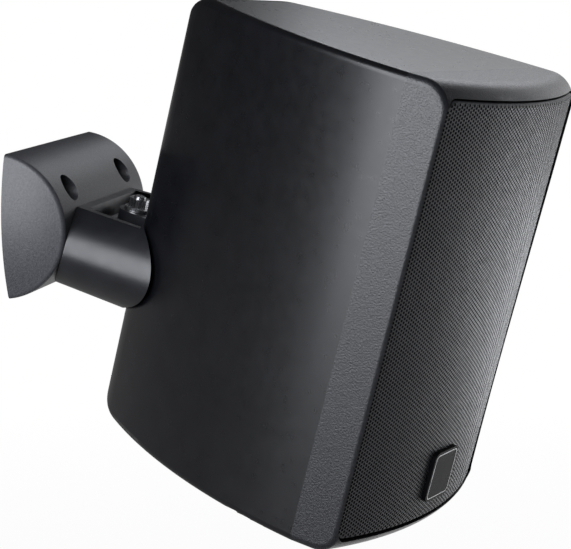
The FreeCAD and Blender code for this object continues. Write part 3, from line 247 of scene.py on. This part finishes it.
def winding(slot, dark, light, rough):
    finish = Finish(slot)
    turns = finish.bands(pitch=0.6, direction="Z", place=finish.turned(), waver=0.4)
    finish.colours(finish.speckle(size=3, detail=3), dark, light)
    finish.roughness(finish.speckle(size=1.2, detail=3), rough)
    finish.relief(turns, depth=0.12)
    finish.set(Metallic=0.9, Coat_Weight=0.5, Coat_Roughness=0.15)
    return finish


# Finishes of the paper, cloth, rubber and board pieces
def fibres(slot, dark, light, strand, depth, sheen):
    finish = Finish(slot)
    strands = finish.mixed(
        finish.speckle(size=strand, detail=5, place=finish.turned(stretch=(1, 0.3, 0.25))),
        finish.speckle(size=strand, detail=5, place=finish.turned(stretch=(0.25, 0.3, 1))), "MAXIMUM")
    finish.colours(strands, dark, light, span=(0.35, 0.75))
    finish.roughness(finish.speckle(size=2, detail=3), rough=(0.78, 0.95))
    finish.relief(strands, depth)
    finish.set(Sheen_Weight=sheen)
    return finish


def weave(slot, dark, light, rough, pitch, depth):
    finish = Finish(slot)
    place = finish.turned()
    cloth = finish.mixed(finish.bands(pitch, "X", place, waver=0.3),
                         finish.bands(pitch, "Z", place, waver=0.3), "MULTIPLY")
    stain = finish.mixed(cloth, finish.speckle(size=6, detail=3), "MULTIPLY")
    finish.colours(stain, dark, light, span=(0.05, 0.5))
    finish.roughness(finish.speckle(size=3, detail=3), rough)
    finish.relief(cloth, depth)
    return finish


def rubber_skin(slot, dark, light, rough):
    finish = Finish(slot)
    finish.colours(finish.speckle(size=6, detail=3), dark, light)
    finish.roughness(finish.speckle(size=2, detail=3), rough)
    finish.relief(finish.speckle(size=0.6, detail=2), depth=0.03)
    finish.set(Specular_IOR_Level=0.4)
    return finish


def fired_ceramic(slot, dark, light):
    finish = Finish(slot)
    finish.colours(finish.speckle(size=0.8, detail=4), dark, light)
    finish.roughness(finish.speckle(size=2, detail=3), rough=(0.6, 0.85))
    finish.relief(finish.speckle(size=0.4, detail=3), depth=0.04)
    return finish


# The record's slots, each with its finish
def make_finishes():
    made = [
        moulding("cabinet_plastic", dark=(0.0015, 0.0016, 0.0024), light=(0.003, 0.0031, 0.0042),
                 rough=(0.27, 0.31), grain=0.7, depth=0.02, gloss=0.5),
        pitted_moulding("bezel_plastic", dark=(0.003, 0.0032, 0.0044), light=(0.012, 0.0123, 0.015),
                        rough=(0.28, 0.42), pit=0.8, depth=0.07, gloss=0.5),
        # The grille's paint carries painted shade inside its holes, where its reflection is cut
        perforated_paint("grille_metal", dark=(0.012, 0.0123, 0.015), light=(0.02, 0.0205, 0.0245),
                         rough=(0.4, 0.5), painted_shade_depth=0.15),
        moulding("badge_plastic", dark=(0.003, 0.003, 0.0035), light=(0.005, 0.005, 0.006),
                 rough=(0.24, 0.32), grain=6, depth=0.02, gloss=0.03),
        pitted_moulding("bracket_plastic", dark=(0.022, 0.0225, 0.026), light=(0.045, 0.0455, 0.052),
                        rough=(0.4, 0.48), pit=0.8, depth=0.05, gloss=0.5),
        moulding("arm_plastic", dark=(0.005, 0.0052, 0.0068), light=(0.008, 0.0083, 0.0105),
                 rough=(0.34, 0.4), grain=0.7, depth=0.02, gloss=0.5),
        moulding("black_plastic", dark=(0.012, 0.012, 0.012), light=(0.02, 0.02, 0.02),
                 rough=(0.4, 0.5), grain=0.6, depth=0.02, gloss=0.5),
        glossy_moulding("red_plastic", dark=(0.40, 0.012, 0.010), light=(0.52, 0.022, 0.018),
                        rough=(0.2, 0.32)),
        glossy_moulding("capacitor_sleeve", dark=(0.02, 0.035, 0.12), light=(0.035, 0.055, 0.18),
                        rough=(0.22, 0.34)),
        stoved_paint("basket_steel", dark=(0.016, 0.016, 0.018), light=(0.024, 0.024, 0.026),
                     rough=(0.3, 0.42)),
        plated_metal("zinc_steel", dark=(0.42, 0.42, 0.43), light=(0.62, 0.62, 0.63), rough=(0.28, 0.42)),
        plated_metal("fastener_steel", dark=(0.36, 0.36, 0.37), light=(0.6, 0.6, 0.61), rough=(0.2, 0.34)),
        plated_metal("contact_brass", dark=(0.5, 0.34, 0.12), light=(0.72, 0.54, 0.24), rough=(0.24, 0.38)),
        winding("copper", dark=(0.34, 0.11, 0.035), light=(0.62, 0.27, 0.12), rough=(0.25, 0.4)),
        fibres("cone_paper", dark=(0.016, 0.015, 0.014), light=(0.05, 0.047, 0.043),
               strand=1.2, depth=0.08, sheen=0.1),
        fibres("wadding", dark=(0.55, 0.55, 0.52), light=(0.86, 0.86, 0.83),
               strand=1.6, depth=0.9, sheen=0.4),
        rubber_skin("rubber", dark=(0.010, 0.010, 0.010), light=(0.022, 0.022, 0.022), rough=(0.55, 0.75)),
        weave("spider_cloth", dark=(0.22, 0.12, 0.035), light=(0.5, 0.32, 0.13),
              rough=(0.7, 0.85), pitch=0.9, depth=0.12),
        weave("board", dark=(0.16, 0.10, 0.04), light=(0.38, 0.27, 0.13),
              rough=(0.4, 0.55), pitch=1.1, depth=0.02),
        fired_ceramic("ferrite", dark=(0.035, 0.035, 0.038), light=(0.065, 0.065, 0.068)),
        fired_ceramic("resistor_ceramic", dark=(0.62, 0.6, 0.55), light=(0.78, 0.77, 0.73)),
    ]
    return {finish.slot: finish.material for finish in made}


def dress_nodes(finishes):
    for subpart in record["subparts"]:
        mesh = nodes_of_part[subpart["node"]].data
        mesh.materials.clear()
        mesh.materials.append(finishes[subpart["material_slot"]])


def add_mesh(name, shape, finish):
    mesh = bpy.data.meshes.new(name)
    shape.to_mesh(mesh)
    shape.free()
    mesh.materials.append(finish)
    holder = bpy.data.objects.new(name, mesh)
    bpy.context.scene.collection.objects.link(holder)
    return holder


# New pieces are drawn in millimetres in the cabinet's frame
def add_piece(name, shape, finish, body, place=CABINET):
    shape.transform(place @ Matrix.Diagonal((MM, MM, MM, 1)))
    piece = add_mesh(name, shape, finish)
    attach(piece, body)
    return piece


def moved_verts(result):
    return [item for item in result["geom"] if isinstance(item, bmesh.types.BMVert)]


def rounded_plate(shape, half_width, half_height, corner, segments):
    """Adds a flat rounded rectangle in the XY plane, front towards +Z."""
    made = bmesh.ops.create_grid(shape, x_segments=1, y_segments=1, size=1)
    bmesh.ops.scale(shape, vec=(half_width, half_height, 1), verts=made["verts"])
    bmesh.ops.bevel(shape, geom=made["verts"], offset=corner, offset_type="OFFSET", affect="VERTICES",
                    segments=segments, profile=0.5, material=-1, clamp_overlap=False)


# Badge: a bare plate with a thin bright line set in from its edge
BADGE_MIDDLE = -82
BADGE_HALF = 13
BADGE_FACE = -13.2
LINE_INSET = 1.3
LINE_CORNER = 2.9
LINE_CORNER_SEGMENTS = 6
LINE_WIDTH = 0.45
LINE_THICKNESS = 0.14
LINE_SUNK = 0.04


def badge_line(finish):
    shape = bmesh.new()
    rounded_plate(shape, BADGE_HALF - LINE_INSET, BADGE_HALF - LINE_INSET, LINE_CORNER, LINE_CORNER_SEGMENTS)
    ring = bmesh.ops.inset_region(
        shape, faces=shape.faces[:], thickness=LINE_WIDTH, use_boundary=True, use_even_offset=True)
    bmesh.ops.delete(shape, geom=[face for face in shape.faces if face not in ring["faces"]], context="FACES")
    raised = bmesh.ops.extrude_face_region(shape, geom=shape.faces[:])
    bmesh.ops.translate(shape, vec=(0, 0, LINE_THICKNESS), verts=moved_verts(raised))
    bmesh.ops.recalc_face_normals(shape, faces=shape.faces[:])
    stand_up = (Matrix.Translation((0, (BADGE_FACE + LINE_SUNK) * MM, BADGE_MIDDLE * MM))
                @ Matrix.Rotation(math.pi / 2, 4, "X"))
    add_piece("badge_line", shape, finish, "cabinet", CABINET @ stand_up)


# Grille: a steel sheet with staggered holes, bowed across, with a rounded edge and walls that go back
GRILLE_HALF_WIDTH = 74
GRILLE_LOW = -104.7
GRILLE_HIGH = 105.5
GRILLE_MIDDLE = (GRILLE_LOW + GRILLE_HIGH) / 2
GRILLE_BOW_RADIUS = 234.17
GRILLE_CROWN = -11.2
GRILLE_FOLD = 1.6
GRILLE_CORNER = 6
GRILLE_CORNER_SEGMENTS = 8
GRILLE_BACK = 6.9
SHEET = 1.0
HOLE_PITCH = 1.945
HOLE_RADIUS = 0.78
HOLE_COLUMNS = 90
HOLE_ROWS = 108
COLUMN_STEP = HOLE_PITCH * math.sqrt(3) / 2
PLAIN_RIM = 0.3
RIM_CUTS = 72
PLAIN_BEHIND_BADGE = BADGE_HALF - 2

# The sheet is drawn flat: its face, with a rim all round that the fold uses up
FOLD_LENGTH = GRILLE_FOLD * math.pi / 2
FACE_CORNER = GRILLE_CORNER - GRILLE_FOLD
FACE_HALF_WIDTH = (GRILLE_BOW_RADIUS * math.asin(GRILLE_HALF_WIDTH / (GRILLE_BOW_RADIUS - GRILLE_FOLD))
                   - GRILLE_FOLD)
FACE_HALF_TALL = (GRILLE_HIGH - GRILLE_LOW) / 2 - GRILLE_FOLD
CORNER_X = FACE_HALF_WIDTH - FACE_CORNER
CORNER_Y = FACE_HALF_TALL - FACE_CORNER


def past_face(x, y):
    """How far a point of the flat sheet lies past the face's rounded outline, and in which direction."""
    past = Vector((max(abs(x) - CORNER_X, 0), max(abs(y) - CORNER_Y, 0)))
    return past.length - FACE_CORNER, past


def lay_lattice(shape):
    """Fills the flat sheet, but for a plain rim, with triangles between the staggered places of the holes."""
    bmesh.ops.create_grid(shape, x_segments=HOLE_COLUMNS, y_segments=HOLE_ROWS, size=1)
    bmesh.ops.scale(shape, verts=shape.verts[:], vec=(
        HOLE_COLUMNS * COLUMN_STEP / 2, HOLE_ROWS * HOLE_PITCH / 2, 1))
    columns = [round(vert.co.x / COLUMN_STEP + HOLE_COLUMNS / 2) for vert in shape.verts]
    for odd in (0, 1):
        bmesh.ops.translate(shape, vec=(0, (odd - 0.5) * HOLE_PITCH / 2, 0), verts=[
            vert for vert, column in zip(shape.verts, columns) if column % 2 == odd])
    bmesh.ops.triangulate(shape, faces=shape.faces[:], quad_method="SHORT_EDGE")
    bmesh.ops.delete(shape, context="VERTS", geom=[
        vert for vert in shape.verts if past_face(vert.co.x, vert.co.y)[0] > FOLD_LENGTH - PLAIN_RIM])
    bmesh.ops.delete(shape, context="EDGES", geom=[edge for edge in shape.edges if not edge.link_faces])


def cut_holes(shape, hole_depth):
    """Cuts a walled hole at each inner point, except behind the badge. Returns the lattice's outer edges."""
    outer = [edge for edge in shape.edges if edge.is_boundary]
    badge_up = BADGE_MIDDLE - GRILLE_MIDDLE
    holes = [vert for vert in shape.verts if not vert.is_boundary and not (
        abs(vert.co.x) < PLAIN_BEHIND_BADGE and abs(vert.co.y - badge_up) < PLAIN_BEHIND_BADGE)]
    cut = bmesh.ops.bevel(shape, geom=holes, offset=HOLE_RADIUS, offset_type="OFFSET", affect="VERTICES",
                          segments=1, profile=0.5, material=-1, clamp_overlap=False)
    bmesh.ops.delete(shape, geom=[face for face in cut["faces"] if face.is_valid], context="FACES_ONLY")
    outer = [edge for edge in outer if edge.is_valid]
    not_holes = set(outer)
    hole_rims = [edge for edge in shape.edges if edge.is_boundary and edge not in not_holes]
    walls = bmesh.ops.extrude_edge_only(shape, edges=hole_rims)
    bmesh.ops.translate(shape, vec=(0, 0, -SHEET), verts=moved_verts(walls))
    for vert in moved_verts(walls):
        vert[hole_depth] = SHEET
    return outer


def fill_rim(shape, lattice_edges):
    """Fills the plain rim from the lattice to the sheet's rounded outline. Returns the outline's edges."""
    before = set(shape.edges)
    rounded_plate(shape, FACE_HALF_WIDTH + FOLD_LENGTH, FACE_HALF_TALL + FOLD_LENGTH,
                  FACE_CORNER + FOLD_LENGTH, GRILLE_CORNER_SEGMENTS)
    outline = [edge for edge in shape.edges if edge not in before]
    bmesh.ops.delete(shape, geom=list(outline[0].link_faces), context="FACES_ONLY")
    across = [edge for edge in outline if abs(edge.verts[0].co.x - edge.verts[1].co.x) > FACE_HALF_WIDTH]
    bmesh.ops.subdivide_edges(shape, edges=across, cuts=RIM_CUTS)
    outline = [edge for edge in shape.edges if edge not in before]
    bmesh.ops.triangle_fill(shape, use_beauty=True, use_dissolve=False, edges=outline + lattice_edges,
                            normal=(0, 0, 1))
    return outline


def fold_rim(shape):
    """Turns the flat sheet's rim back through a quarter circle all round."""
    for vert in shape.verts:
        x, y, out = vert.co
        beyond, past = past_face(x, y)
        if beyond > 0:
            angle = beyond / GRILLE_FOLD
            reach = past.normalized() * (FACE_CORNER + (GRILLE_FOLD + out) * math.sin(angle))
            vert.co = (math.copysign(CORNER_X + reach.x, x) if past.x else x,
                       math.copysign(CORNER_Y + reach.y, y) if past.y else y,
                       (GRILLE_FOLD + out) * math.cos(angle) - GRILLE_FOLD)


def bow_sheet(shape):
    """Bends the flat sheet to its bow and stands it up: flat X runs round the bow, flat Z is outwards."""
    for vert in shape.verts:
        around, up, out = vert.co
        turn = around / GRILLE_BOW_RADIUS
        reach = GRILLE_BOW_RADIUS + out
        vert.co = (reach * math.sin(turn),
                   GRILLE_CROWN + GRILLE_BOW_RADIUS - reach * math.cos(turn), up + GRILLE_MIDDLE)


def grille_sheet(finish):
    shape = bmesh.new()
    hole_depth = shape.verts.layers.float.new("hole_depth")
    lay_lattice(shape)
    lattice_edges = cut_holes(shape, hole_depth)
    outline = fill_rim(shape, lattice_edges)
    fold_rim(shape)
    bow_sheet(shape)
    walls = bmesh.ops.extrude_edge_only(shape, edges=outline)
    for vert in moved_verts(walls):
        vert.co.y = GRILLE_BACK
    piece = add_piece("grille_sheet", shape, finish, "cabinet")
    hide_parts("grille")


# Studio: a pale floor, a white backdrop behind the object and soft lamps
WHITE = (1, 1, 1, 1)
BACKDROP_SIDE = Vector((0.978, -0.208, 0.0))
BACKDROP_LEAN = (0.86, 1.0)
BACKDROP_LIGHT = 0.85
ROOM_LIGHT = 0.25
DIM_ROOM = 0.04
FLOOR_PLACE = (0, -0.15, -0.5)
FLOOR_HALF = 60
FLOOR_PAINT = (0.7, 0.7, 0.7, 1)
FLOOR_LEAN = (0.6, 0.95)
DIM_FLOOR = 0.25
SHADE_REACH = (0.3, 1.4)
SHADE_SHARE = (0.9, 1.0)
LAMP_COLOUR = (0.92, 0.945, 1.0)
LAMP_TARGET = Vector((-0.04, -0.17, -0.03))


def floor_finish():
    material = bpy.data.materials.new("studio_floor")
    material.use_nodes = True
    tree = material.node_tree
    tree.nodes.clear()
    rays = add_node(tree, "LightPath").outputs
    place = add_node(tree, "TexCoord").outputs["Object"]

    # The camera sees the floor glow, and near the object some of the shadow on it
    seen = worked_out(tree, "MAXIMUM", rays["Is Camera Ray"], rays["Is Transmission Ray"])
    away = add_node(tree, "VectorMath", {0: place}, operation="LENGTH").outputs["Value"]
    seen_share = worked_out(tree, "MULTIPLY", ranged(tree, away, SHADE_REACH, SHADE_SHARE), seen)
    share = worked_out(tree, "MAXIMUM", seen_share, rays["Is Glossy Ray"])

    # In the glossy surfaces the floor is dim except on the backdrop's side
    heading = add_node(tree, "VectorMath", {0: place}, operation="NORMALIZE").outputs["Vector"]
    lost = ranged(tree, lean_towards(tree, heading, BACKDROP_SIDE), FLOOR_LEAN, (DIM_FLOOR - 1, 0))
    strength = worked_out(tree, "MULTIPLY_ADD", lost, rays["Is Glossy Ray"], 1)

    paint = add_node(tree, "BsdfDiffuse", {"Color": FLOOR_PAINT})
    glow = add_node(tree, "Emission", {"Strength": strength})
    blend = add_node(tree, "MixShader", {"Fac": share, 1: paint.outputs["BSDF"], 2: glow.outputs["Emission"]})
    add_node(tree, "OutputMaterial", {"Surface": blend.outputs["Shader"]})
    return material


def lay_floor():
    shape = bmesh.new()
    bmesh.ops.create_grid(shape, x_segments=4, y_segments=4, size=FLOOR_HALF)
    floor = add_mesh("studio_floor", shape, floor_finish())
    floor.location = FLOOR_PLACE


def set_backdrop():
    world = bpy.data.worlds.new("studio")
    world.use_nodes = True
    bpy.context.scene.world = world
    tree = world.node_tree
    tree.nodes.clear()
    rays = add_node(tree, "LightPath").outputs
    heading = add_node(tree, "TexCoord").outputs["Generated"]

    # In the glossy surfaces the room is dim except on the backdrop's side
    above_room = ranged(tree, lean_towards(tree, heading, BACKDROP_SIDE), BACKDROP_LEAN,
                        (DIM_ROOM - ROOM_LIGHT, BACKDROP_LIGHT - ROOM_LIGHT), interpolation_type="SMOOTHSTEP")
    mirrored = worked_out(tree, "MULTIPLY_ADD", above_room, rays["Is Glossy Ray"], ROOM_LIGHT)
    seen = worked_out(tree, "MAXIMUM", rays["Is Camera Ray"], rays["Is Transmission Ray"])
    strength = worked_out(tree, "MAXIMUM", seen, mirrored)
    room = add_node(tree, "Background", {"Color": WHITE, "Strength": strength})
    add_node(tree, "OutputWorld", {"Surface": room.outputs["Background"]})


def softbox(name, position, size, watts):
    lamp = bpy.data.lights.new(name, "AREA")
    lamp.shape = "RECTANGLE"
    lamp.size, lamp.size_y = size
    lamp.energy = watts
    lamp.color = LAMP_COLOUR
    holder = bpy.data.objects.new(name, lamp)
    bpy.context.scene.collection.objects.link(holder)
    aim = LAMP_TARGET - Vector(position)
    holder.matrix_world = Matrix.Translation(position) @ aim.to_track_quat("-Z", "Y").to_matrix().to_4x4()


def light_studio():
    softbox("left_softbox", position=(-1.26, 0.31, 0.45), size=(1.05, 1.5), watts=39)
    softbox("rear_softbox", position=(1.08, -0.19, 0.6), size=(0.6, 0.4), watts=1.7)
    softbox("front_softbox", position=(1.0, -0.95, 0.3), size=(1.2, 0.8), watts=1.6)
    softbox("low_softbox", position=(0.85, -0.68, -0.4), size=(0.9, 0.35), watts=3)


bpy.context.scene.view_settings.view_transform = "Standard"
set_camera()
finishes = make_finishes()
dress_nodes(finishes)
grille_sheet(finishes["grille_metal"])
badge_line(finishes["zinc_steel"])
lay_floor()
set_backdrop()
light_studio()
